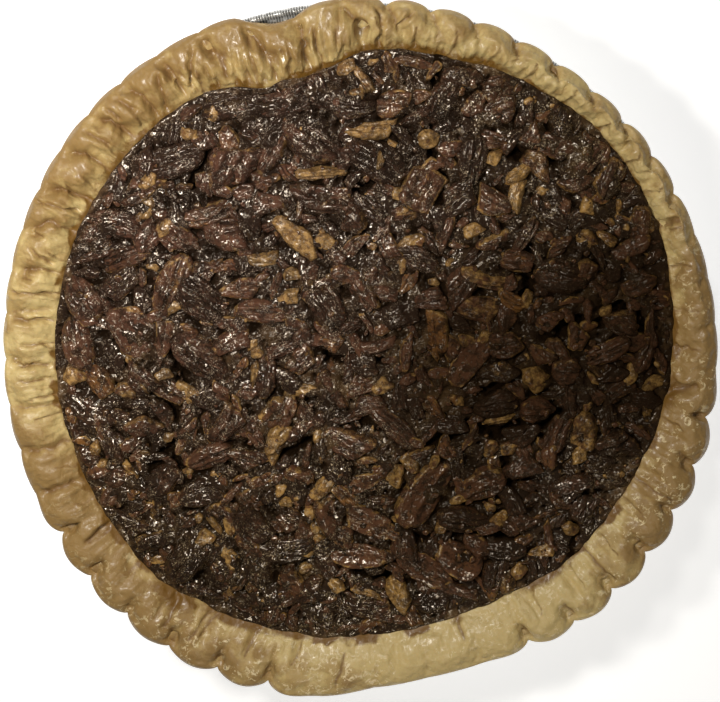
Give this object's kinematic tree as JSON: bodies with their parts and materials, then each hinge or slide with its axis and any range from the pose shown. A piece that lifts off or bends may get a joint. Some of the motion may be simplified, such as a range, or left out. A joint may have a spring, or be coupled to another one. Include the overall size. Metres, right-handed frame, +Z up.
{
  "type": "pecan pie",
  "caption": "Whole baked pecan pie: fluted golden pastry crust over the rim of a round foil tin, dark glossy filling crowded with pecans.",
  "frame": {"origin": "centre of the tin's flat base, on the surface that the pie stands on", "axes": "+Z up out of the pie; +X and +Y across it, with the tin's bare rim and the long glossy slope of the crust at +Y"},
  "size_m": [0.2311, 0.2342, 0.0391],
  "materials": {
    "foil": "thin rolled aluminium foil, bright, with fine pressed ribs",
    "pastry": "baked shortcrust pastry, golden, with paler blisters and browner lobe tips",
    "filling": "dark umber baked syrup glaze over pecans, glossy with pinpoint glints and tan broken faces"
  },
  "bodies": {
    "root": {"foil_tin": "foil", "pastry_crust": "pastry", "pecan_filling": "filling"}
  },
  "joints": []
}
